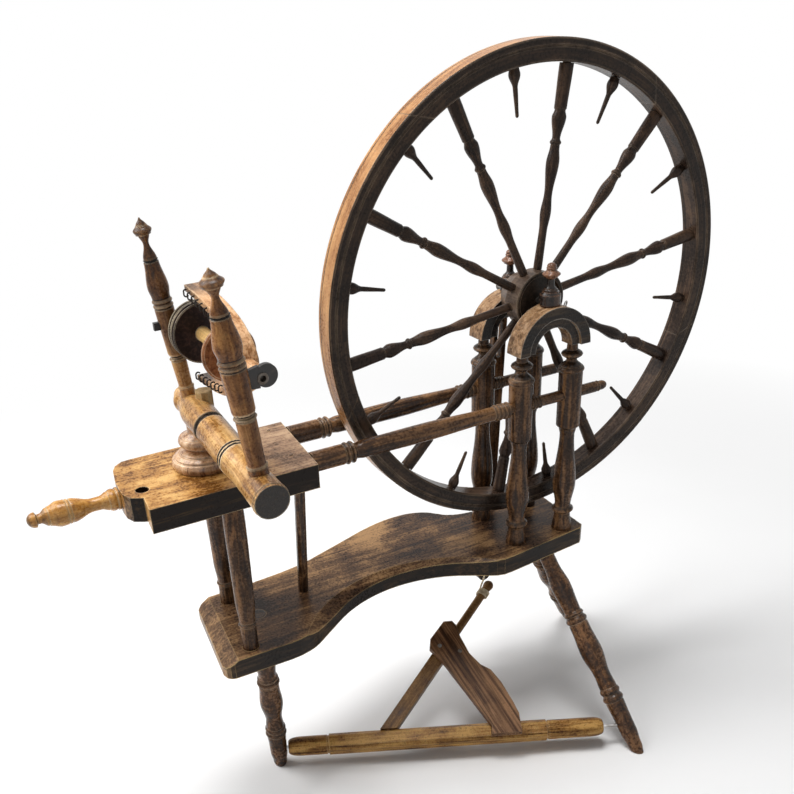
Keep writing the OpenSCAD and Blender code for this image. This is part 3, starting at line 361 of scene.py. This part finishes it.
maidenLook = {
    "tones": ((0.09, 0.03, 0.008), (0.28, 0.11, 0.03), (0.55, 0.27, 0.085)),
    "poreAndShadeColour": (0.014, 0.009, 0.007),
    "wornAndGlint": (0.85, 0.66, 0.42),
    "wearAndGlint": 0.6,
    "rough": (0.2, 0.38),
    "front": 0.35,
    "frontTurn": (0.2, -0.95),
    "shine": 0.2,
}
rearMaidenLook = {
    **maidenLook,
    "tones": ((0.24, 0.095, 0.024), (0.6, 0.3, 0.095), (0.8, 0.5, 0.19)),
}
motherLook = {
    "tones": ((0.15, 0.06, 0.014), (0.43, 0.215, 0.06), (0.72, 0.45, 0.175)),
    "poreAndShadeColour": (0.016, 0.01, 0.007),
    "wornAndGlint": (0.88, 0.7, 0.46),
    "wearAndGlint": 0.7,
    "rough": (0.22, 0.4),
    "front": 1.05,
    "frontShadeColour": (0.014, 0.009, 0.006),
    "frontTurn": (-0.75, -0.95),
    "shine": 0.35,
    "toneRange": (0.42, 0.58),
}
pedestalLook = {
    "tones": ((0.2, 0.095, 0.045), (0.52, 0.3, 0.155), (0.75, 0.52, 0.32)),
    "poreAndShadeColour": (0.05, 0.025, 0.012),
    "wornAndGlint": (0.88, 0.7, 0.5),
    "wearAndGlint": 0.6,
    "rough": (0.16, 0.32),
    "front": 0.3,
    "shine": 0.5,
}
handleLook = {
    "tones": ((0.17, 0.06, 0.008), (0.42, 0.185, 0.032), (0.64, 0.35, 0.095)),
    "poreAndShadeColour": (0.03, 0.016, 0.008),
    "wornAndGlint": (0.85, 0.65, 0.36),
    "wearAndGlint": 0.5,
    "rough": (0.16, 0.34),
    "front": 0.2,
    "shine": 0.35,
}
turnedLook = {
    "tones": ((0.024, 0.01, 0.0045), (0.086, 0.039, 0.0155), (0.28, 0.14, 0.058)),
    "poreAndShadeColour": (0.01, 0.007, 0.005),
    "wornAndGlint": (0.5, 0.33, 0.2),
    "wearAndGlint": 0.55,
    "rough": (0.16, 0.36),
    "front": 0.35,
    "frontTurn": (0.2, -0.95),
    "shine": 0.2,
    "toneRange": (0.42, 0.58),
    "mix": (0.5, 0.28, 0.22),
}
# The arch's grey rubbed-edge colour is a painted glint on its dark front
archLook = {
    "tones": ((0.09, 0.044, 0.019), (0.25, 0.14, 0.068), (0.44, 0.28, 0.155)),
    "poreAndShadeColour": (0.05, 0.03, 0.02),
    "wornAndGlint": (0.42, 0.37, 0.31),
    "wearAndGlint": 0.75,
    "rough": (0.18, 0.36),
    "front": 0.98,
    "frontTurn": (-0.4, -0.8),
    "shine": 0.2,
    "mix": (0.55, 0.27, 0.18),
}
whorlLook = {
    "tones": ((0.012, 0.008, 0.007), (0.026, 0.017, 0.014), (0.06, 0.036, 0.025)),
    "poreAndShadeColour": (0.008, 0.006, 0.005),
    "wornAndGlint": (0.8, 0.66, 0.46),
    "wearAndGlint": 1.0,
    "rough": (0.3, 0.5),
    "front": 0.5,
}
rimLook = {
    "tones": ((0.018, 0.011, 0.008), (0.045, 0.027, 0.018), (0.12, 0.072, 0.045)),
    "poreAndShadeColour": (0.012, 0.009, 0.007),
    "wornAndGlint": (0.34, 0.25, 0.17),
    "wearAndGlint": 0.6,
    "rough": (0.2, 0.4),
    "front": 0.5,
    "grainSize": (7, 180, 180),
    "shine": 0.14,
    "tread": ((0.17, 0.068, 0.02), (0.36, 0.17, 0.065), (0.54, 0.3, 0.13)),
}
spokeLook = {
    "tones": ((0.016, 0.009, 0.007), (0.045, 0.026, 0.017), (0.12, 0.07, 0.043)),
    "poreAndShadeColour": (0.008, 0.006, 0.005),
    "wornAndGlint": (0.34, 0.24, 0.16),
    "wearAndGlint": 0.55,
    "rough": (0.22, 0.42),
    "front": 0.4,
    "frontTurn": (0.2, -0.95),
}
hubLook = {
    "tones": ((0.03, 0.018, 0.012), (0.075, 0.05, 0.036), (0.17, 0.115, 0.08)),
    "poreAndShadeColour": (0.01, 0.008, 0.006),
    "wornAndGlint": (0.4, 0.3, 0.2),
    "wearAndGlint": 0.6,
    "rough": (0.24, 0.42),
    "front": 0.45,
    "grooveShadeAndGrime": 0.5,
}
benchLeft = ((0.026, 0.013, 0.007), (0.135, 0.072, 0.036), (0.4, 0.235, 0.11))
benchLook = {
    "tones": benchLeft,
    "poreAndShadeColour": (0.014, 0.009, 0.006),
    "wornAndGlint": (0.72, 0.5, 0.22),
    "wearAndGlint": 0.95,
    "edgeWidth": 0.0022,
    "rough": (0.22, 0.46),
    "cloudScale": 11,
    "front": 0.95,
    "mix": (0.26, 0.5, 0.24),
    "toneRange": (0.43, 0.57),
    "shine": 0.15,
}
legLook = {
    "tones": ((0.018, 0.008, 0.004), (0.075, 0.032, 0.012), (0.27, 0.13, 0.054)),
    "poreAndShadeColour": (0.01, 0.007, 0.005),
    "wornAndGlint": (0.6, 0.42, 0.27),
    "wearAndGlint": 0.6,
    "rough": (0.14, 0.36),
    "front": 0.25,
    "pores": 0.7,
    "speckScale": 210,
    "mix": (0.25, 0.35, 0.4),
    "shine": 0.22,
    "grooveShadeAndGrime": 0.6,
}
pedalLook = {
    "tones": ((0.042, 0.018, 0.009), (0.14, 0.07, 0.034), (0.31, 0.165, 0.082)),
    "poreAndShadeColour": (0.025, 0.015, 0.01),
    "wornAndGlint": (0.4, 0.27, 0.17),
    "wearAndGlint": 0.6,
    "rough": (0.3, 0.55),
    "front": 0.0,
    "mix": (0.72, 0.18, 0.1),
    "grainSize": (7, 190, 190),
}
barLook = {
    "tones": ((0.05, 0.018, 0.005), (0.27, 0.13, 0.034), (0.5, 0.29, 0.09)),
    "poreAndShadeColour": (0.02, 0.011, 0.006),
    "wornAndGlint": (0.6, 0.42, 0.22),
    "wearAndGlint": 0.6,
    "rough": (0.24, 0.46),
    "front": 0.1,
    "mix": (0.5, 0.3, 0.2),
    "pores": 0.6,
    "toneRange": (0.42, 0.57),
}
armLook = {
    "tones": ((0.05, 0.02, 0.007), (0.16, 0.08, 0.028), (0.32, 0.18, 0.07)),
    "poreAndShadeColour": (0.03, 0.017, 0.01),
    "wornAndGlint": (0.5, 0.35, 0.18),
    "wearAndGlint": 0.6,
    "rough": (0.26, 0.48),
    "front": 0.1,
    "mix": (0.5, 0.3, 0.2),
}
finialLook = {
    "tones": ((0.01, 0.007, 0.006), (0.03, 0.02, 0.016), (0.1, 0.056, 0.036)),
    "poreAndShadeColour": (0.01, 0.008, 0.007),
    "wornAndGlint": (0.42, 0.2, 0.1),
    "wearAndGlint": 0.7,
    "rough": (0.12, 0.28),
    "front": 0.0,
    "shine": 0.3,
}
bobbinLook = {
    "tones": ((0.11, 0.036, 0.015), (0.25, 0.1, 0.042), (0.42, 0.19, 0.09)),
    "poreAndShadeColour": (0.05, 0.025, 0.015),
    "wornAndGlint": (0.85, 0.7, 0.48),
    "wearAndGlint": 1.0,
    "rough": (0.28, 0.48),
    "front": 0.0,
    "edgeWidth": 0.0014,
}
paleLook = {
    "tones": ((0.3, 0.16, 0.05), (0.5, 0.31, 0.125), (0.68, 0.48, 0.23)),
    "poreAndShadeColour": (0.16, 0.08, 0.03),
    "wornAndGlint": (0.78, 0.6, 0.36),
    "wearAndGlint": 0.5,
    "rough": (0.32, 0.5),
    "front": 0.3,
}

# Zones change the tones beyond a level: axis, level in metres, width of the change, new tones
benchTones = ((0.016, 0.008, 0.005), (0.092, 0.048, 0.024), (0.32, 0.185, 0.085))
brownTones = ((0.08, 0.04, 0.018), (0.22, 0.125, 0.07), (0.4, 0.26, 0.155))
copperTones = ((0.09, 0.036, 0.018), (0.22, 0.1, 0.052), (0.42, 0.22, 0.12))
flyerTips = ((0.06, 0.03, 0.015), (0.16, 0.09, 0.05), (0.34, 0.2, 0.12))
dimTones = ((0.05, 0.018, 0.006), (0.17, 0.07, 0.022), (0.36, 0.17, 0.058))
coreTones = ((0.46, 0.26, 0.09), (0.74, 0.48, 0.19), (0.86, 0.64, 0.32))
discTones = ((0.01, 0.006, 0.006), (0.022, 0.013, 0.012), (0.05, 0.027, 0.022))
benchRight = [(0, -0.13, 0.12, benchTones)]
legPlug = [(2, 0.2635, 0.0004, benchTones)]
tableEnd = [(0, -0.212, 0.06, brownTones)]
finialTop = [(2, 0.6095, 0.001, copperTones)]
flyerEnds = [(1, 0.016, 0.03, flyerTips)]
rearMaidenTop = [(2, 0.6, 0.02, dimTones)]
bobbinZones = [(1, -0.0272, 0.0004, coreTones), (1, 0.0422, 0.0004, discTones)]

# Ring lines of the turned pieces up front and of the rim, in metres along each one's own axis
motherRings = {
    "from": (-0.2605, -0.14302, 0.51215),
    "along": motherWay,
    "length": 0.26,
    "dark": ((0.0862, 0.0893), (0.0912, 0.0943), (0.1555, 0.1625)),
    "pale": (
        (0.0845, 0.0862), (0.0893, 0.0912), (0.0943, 0.096), (0.153, 0.1555), (0.1625, 0.165),
    ),
}
rimRings = {
    "from": (0, 0.0507, 0),
    "along": (0, 1, 0),
    "length": 0.03,
    "dark": ((0.0212, 0.0228),),
    "pale": (),
}
frontRings = {
    "from": (-0.2605, -0.1143, 0.535),
    "along": maidenWay,
    "length": 0.26,
    "dark": ((0.056, 0.0586), (0.101, 0.102), (0.106, 0.107), (0.111, 0.112), (0.1488, 0.1512)),
    "pale": (
        (0.0024, 0.0054), (0.054, 0.056), (0.0586, 0.06), (0.103, 0.105), (0.108, 0.11),
        (0.1512, 0.1526),
    ),
}
rearRings = {
    "from": (-0.2605, 0.0737, 0.535),
    "along": maidenWay,
    "length": 0.26,
    "dark": ((0.059, 0.0616), (0.112, 0.113), (0.117, 0.118), (0.122, 0.123), (0.1598, 0.1622)),
    "pale": (
        (0.0235, 0.0265), (0.057, 0.059), (0.0616, 0.063), (0.114, 0.116), (0.119, 0.121),
        (0.1622, 0.1636),
    ),
}


# Iron and wire: dull grey with brown bloom
metalBase = {
    "bloom": (120.0, 4.0, 0.65),
    "stops": (0.35, 0.55, 0.7),
    "roughRange": (0.35, 0.65),
    "bump": (0.25, 0.0004),
}
ironLook = {
    "dark": (0.06, 0.045, 0.035),
    "mid": (0.13, 0.115, 0.1),
    "light": (0.25, 0.24, 0.23),
    "rough": (0.4, 0.6),
}
hookLook = {
    "dark": (0.02, 0.017, 0.015),
    "mid": (0.045, 0.04, 0.036),
    "light": (0.1, 0.09, 0.08),
    "rough": (0.4, 0.6),
}
wireLook = {
    "dark": (0.2, 0.18, 0.16),
    "mid": (0.4, 0.39, 0.38),
    "light": (0.6, 0.6, 0.6),
    "rough": (0.28, 0.45),
}


def metalMaterial(name, look):
    m, tree, shader = newMaterial(name)
    bloom = noise(tree, texturePlace(tree), *metalBase["bloom"])
    tones = (look["dark"], look["mid"], look["light"])
    colour = ramp(tree, bloom, list(zip(metalBase["stops"], tones)))
    rough = remap(tree, bloom, *metalBase["roughRange"], *look["rough"])
    dress(tree, shader, colour, rough, bloom, metalBase["bump"])
    shader.inputs["Metallic"].default_value = 1.0
    return m


# Stiff black leather with fine creases
leatherLook = {
    "creases": 900.0,
    "cloud": (90.0, 4.0),
    "stops": (0.35, 0.55, 0.7),
    "tones": ((0.008, 0.007, 0.007), (0.018, 0.016, 0.015), (0.045, 0.038, 0.034)),
    "roughRange": (0.35, 0.65),
    "rough": (0.42, 0.62),
    "bump": (0.35, 0.0003),
}


def leatherMaterial(name):
    m, tree, shader = newMaterial(name)
    place = texturePlace(tree)
    cells = addNode(tree, "ShaderNodeTexVoronoi", {"feature": "DISTANCE_TO_EDGE"}, Vector=place,
        Scale=leatherLook["creases"]).outputs[0]
    cloud = noise(tree, place, *leatherLook["cloud"])
    colour = ramp(tree, cloud, list(zip(leatherLook["stops"], leatherLook["tones"])))
    rough = remap(tree, cloud, *leatherLook["roughRange"], *leatherLook["rough"])
    dress(tree, shader, colour, rough, cells, leatherLook["bump"])
    return m


finishes = {
    "benchWood": woodMaterial("benchWood", benchLook, level, zones=benchRight),
    "leftLegWood": woodMaterial("leftLegWood", legLook, leftLegWay, leftLegWay, zones=legPlug),
    "frontLegWood": woodMaterial("frontLegWood", legLook, frontLegWay, frontLegWay, zones=legPlug),
    "rearLegWood": woodMaterial("rearLegWood", legLook, rearLegWay, rearLegWay, zones=legPlug),
    "postWood": woodMaterial("postWood", turnedLook, upright, upright),
    "railWood": woodMaterial("railWood", turnedLook, level, level),
    "archWood": woodMaterial("archWood", archLook, level),
    "whorlWood": woodMaterial("whorlWood", whorlLook, across),
    "finialWood": woodMaterial("finialWood", finialLook, upright, zones=finialTop),
    "tableWood": woodMaterial("tableWood", honeyLook, level, zones=tableEnd),
    "screwWood": woodMaterial("screwWood", handleLook, level, level),
    "motherWood": woodMaterial("motherWood", motherLook, motherWay, rings=motherRings),
    "pedestalWood": woodMaterial("pedestalWood", pedestalLook, upright),
    "flyerWood": woodMaterial("flyerWood", flyerLook, across, zones=flyerEnds),
    "frontMaidenWood": woodMaterial("frontMaidenWood", maidenLook, maidenWay, maidenWay,
        frontRings),
    "rearMaidenWood": woodMaterial("rearMaidenWood", rearMaidenLook, maidenWay, maidenWay,
        rearRings, rearMaidenTop),
    "rimWood": woodMaterial("rimWood", rimLook, "ring", rings=rimRings),
    "spokeWood": woodMaterial("spokeWood", spokeLook, "ray", "ray"),
    "hubWood": woodMaterial("hubWood", hubLook, across, across),
    "barWood": woodMaterial("barWood", barLook, barWay),
    "armWood": woodMaterial("armWood", armLook, armWay),
    "pedalWood": woodMaterial("pedalWood", pedalLook, pedalWay),
    "bobbinWood": woodMaterial("bobbinWood", bobbinLook, across, zones=bobbinZones),
    "paleWood": woodMaterial("paleWood", paleLook, upright),
    "forgedIron": metalMaterial("forgedIron", ironLook),
    "hookWire": metalMaterial("hookWire", hookLook),
    "brightWire": metalMaterial("brightWire", wireLook),
    "blackLeather": leatherMaterial("blackLeather"),
}

finishOf = {
    "benchWood": ["bench"],
    "leftLegWood": ["left_leg"],
    "frontLegWood": ["front_leg"],
    "rearLegWood": ["rear_leg"],
    "postWood": ["front_left_post", "front_right_post", "rear_left_post", "rear_right_post",
        "front_table_post", "rear_table_post", "table_strut", "footman"],
    "railWood": ["front_rail", "rear_rail", "rail_pins"],
    "archWood": ["front_arch", "rear_arch"],
    "whorlWood": ["whorl"],
    "finialWood": ["front_finial", "rear_finial"],
    "tableWood": ["table"],
    "screwWood": ["tension_screw", "screw_nut"],
    "flyerWood": ["flyer"],
    "motherWood": ["mother_of_all"],
    "pedestalWood": ["pedestal"],
    "frontMaidenWood": ["front_maiden"],
    "rearMaidenWood": ["rear_maiden"],
    "rimWood": ["felloe_1", "felloe_2", "felloe_3", "felloe_4", "felloe_5"],
    "spokeWood": ["spokes", "rim_pegs"],
    "hubWood": ["hub"],
    "barWood": ["treadle_bar"],
    "armWood": ["treadle_arm"],
    "pedalWood": ["pedal"],
    "bobbinWood": ["bobbin"],
    "paleWood": ["maiden_block"],
    "forgedIron": ["axle_crank", "pedal_nails", "spindle"],
    "hookWire": ["flyer_hooks"],
    "brightWire": ["treadle_pins", "arch_staple"],
    "blackLeather": ["front_bearing", "rear_bearing"],
}
for finish, names in finishOf.items():
    for nodeName in names:
        nodes[nodeName].data.materials.clear()
        nodes[nodeName].data.materials.append(finishes[finish])
print("finishes on", sum(len(v) for v in finishOf.values()), "pieces")


# Twisted string lashed round the treadle arm's tip and drawn up to the footman's eye, in metres
tieLook = {
    "armFoot": (-0.08705, -0.00027, 0.03486),
    "alongArm": 0.2667,
    "eye": (0.16945, 0.1357, 0.1428),
    "turns": 4,
    "turnSteps": 48,
    "coil": 0.0074,
    "pitch": 0.0026,
    "leavePull": 0.006,
    "eyePull": 0.02,
    "strandSteps": 40,
    "step": 0.0005,
    "ply": 0.00078,
    "plyRoundness": 2,
    "offset": 0.0006,
    "twist": 0.0048,
}
stringLook = {
    "fibre": (1600.0, 3.0, 0.6),
    "soil": (140.0, 2.0),
    "mix": (0.5, 0.5),
    "stops": (0.35, 0.5, 0.65),
    "tones": ((0.34, 0.25, 0.15), (0.62, 0.52, 0.36), (0.8, 0.72, 0.56)),
    "roughRange": (0.35, 0.65),
    "rough": (0.75, 0.95),
    "bump": (0.4, 0.0002),
    "shine": 0.2,
}


def stringMaterial():
    m, tree, shader = newMaterial("paleString")
    place = texturePlace(tree)
    fibre = noise(tree, place, *stringLook["fibre"])
    soil = noise(tree, place, *stringLook["soil"])
    tone = blend(tree, (fibre, soil), stringLook["mix"])
    colour = ramp(tree, tone, list(zip(stringLook["stops"], stringLook["tones"])))
    rough = remap(tree, soil, *stringLook["roughRange"], *stringLook["rough"])
    dress(tree, shader, colour, rough, fibre, stringLook["bump"])
    shader.inputs["Specular IOR Level"].default_value = stringLook["shine"]
    return m


# Turns round the arm, then one strand that leaves the last turn and runs up to the eye
def tieRoute():
    arm = Vector(armWay).normalized()
    eye = Vector(tieLook["eye"])
    start = Vector(tieLook["armFoot"]) + arm * tieLook["alongArm"]
    toEye = eye - start
    up = (toEye - toEye.dot(arm) * arm).normalized()
    side = arm.cross(up)
    rough = []
    for k in range(tieLook["turns"] * tieLook["turnSteps"] + 1):
        a = 2 * math.pi * k / tieLook["turnSteps"]
        rough.append(start + arm * (tieLook["pitch"] * k / tieLook["turnSteps"])
            + tieLook["coil"] * (math.cos(a) * up + math.sin(a) * side))
    leave, toward = rough[-1], (rough[-1] - rough[-2]).normalized()
    near = leave + toward * tieLook["leavePull"]
    far = eye - (eye - leave).normalized() * tieLook["eyePull"]
    for k in range(1, tieLook["strandSteps"] + 1):
        t = k / tieLook["strandSteps"]
        s = 1 - t
        rough.append(s ** 3 * leave + 3 * s ** 2 * t * near + 3 * s * t * t * far + t ** 3 * eye)

    # Even steps along the rough line
    route, gone = [rough[0]], 0.0
    for a, b in zip(rough, rough[1:]):
        span = (b - a).length
        while gone + tieLook["step"] <= span:
            gone += tieLook["step"]
            route.append(a.lerp(b, gone / span))
        gone -= span
    return route


# Two plies wind round the route
def tiePlies():
    route = tieRoute()
    lift = Vector(upright)
    plies = [[], []]
    for k, point in enumerate(route):
        way = (route[min(k + 1, len(route) - 1)] - route[max(k - 1, 0)]).normalized()
        lift = (lift - lift.dot(way) * way).normalized()
        over = way.cross(lift)
        for i, ply in enumerate(plies):
            a = 2 * math.pi * k * tieLook["step"] / tieLook["twist"] + math.pi * i
            ply.append(point + tieLook["offset"] * (math.cos(a) * lift + math.sin(a) * over))
    return plies


def stringTie():
    bpy.ops.object.select_all(action="DESELECT")
    for ply in tiePlies():
        curve = bpy.data.curves.new("tiePly", "CURVE")
        curve.dimensions = "3D"
        curve.bevel_depth = tieLook["ply"]
        curve.bevel_resolution = tieLook["plyRoundness"]
        curve.use_fill_caps = True
        line = curve.splines.new("POLY")
        line.points.add(len(ply) - 1)
        for spot, point in zip(line.points, ply):
            spot.co = (*point, 1)
        strand = bpy.data.objects.new("stringTie", curve)
        bpy.context.scene.collection.objects.link(strand)
        strand.select_set(True)
        bpy.context.view_layer.objects.active = strand
    bpy.ops.object.convert(target="MESH")
    bpy.ops.object.join()
    tie = bpy.context.object
    tie.name = "stringTie"
    bpy.ops.object.shade_smooth()
    tie.data.materials.clear()
    tie.data.materials.append(stringMaterial())
    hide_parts("tie_cord")
    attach(tie, "treadle")
    print("string tie:", len(tie.data.polygons), "faces")


stringTie()


# White wherever the camera, a glossy surface or a clear one looks
def seenWhite(tree):
    rays = addNode(tree, "ShaderNodeLightPath").outputs
    seen = mathNode(tree, "MAXIMUM", rays["Is Camera Ray"], rays["Is Glossy Ray"])
    return mathNode(tree, "MAXIMUM", seen, rays["Is Transmission Ray"])


# Studio floor: lit and shaded near the wheel, plain white further off
floorLook = {
    "size": 30,
    "drop": 0.0005,
    "paint": 0.9,
    "paintVary": 0.02,
    "cloud": (3.0, 2.0),
    "stops": (0.3, 0.7),
    "rough": 0.85,
    "shine": 0.1,
    "near": 0.75,
    "far": 1.7,
}


def paleFloor():
    bpy.ops.object.select_all(action="DESELECT")
    bpy.ops.mesh.primitive_plane_add(size=floorLook["size"], location=(0, 0, -floorLook["drop"]))
    floor = bpy.context.object
    floor.name = "studioFloor"
    m, tree, shader = newMaterial("floorPaint")
    place = texturePlace(tree)
    cloud = noise(tree, place, *floorLook["cloud"])
    paints = ((floorLook["paint"] - floorLook["paintVary"],) * 3, (floorLook["paint"],) * 3)
    colour = ramp(tree, cloud, list(zip(floorLook["stops"], paints)))
    tree.links.new(colour, shader.inputs["Base Color"])
    shader.inputs["Roughness"].default_value = floorLook["rough"]
    shader.inputs["Specular IOR Level"].default_value = floorLook["shine"]
    reach = vectorNode(tree, "LENGTH", place, output="Value")
    faraway = remap(tree, reach, floorLook["near"], floorLook["far"])
    white = addNode(tree, "ShaderNodeEmission", None, Color=(1, 1, 1, 1), Strength=1.0)
    both = addNode(tree, "ShaderNodeMixShader", None,
        Fac=mathNode(tree, "MULTIPLY", faraway, seenWhite(tree)),
        i1=shader.outputs[0], i2=white.outputs[0])
    tree.links.new(both.outputs[0], tree.nodes["Material Output"].inputs["Surface"])
    floor.data.materials.append(m)


paleFloor()

# White surroundings that give only a little light
worldLook = {"light": 0.15, "seen": 1.0}
world = bpy.data.worlds.new("studioWorld")
bpy.context.scene.world = world
world.use_nodes = True
sky = world.node_tree
background = sky.nodes["Background"]
background.inputs["Color"].default_value = (1, 1, 1, 1)
lit = remap(sky, seenWhite(sky), 0.0, 1.0, worldLook["light"], worldLook["seen"])
sky.links.new(lit, background.inputs["Strength"])
bpy.context.scene.view_settings.view_transform = "Standard"
print("stage set")
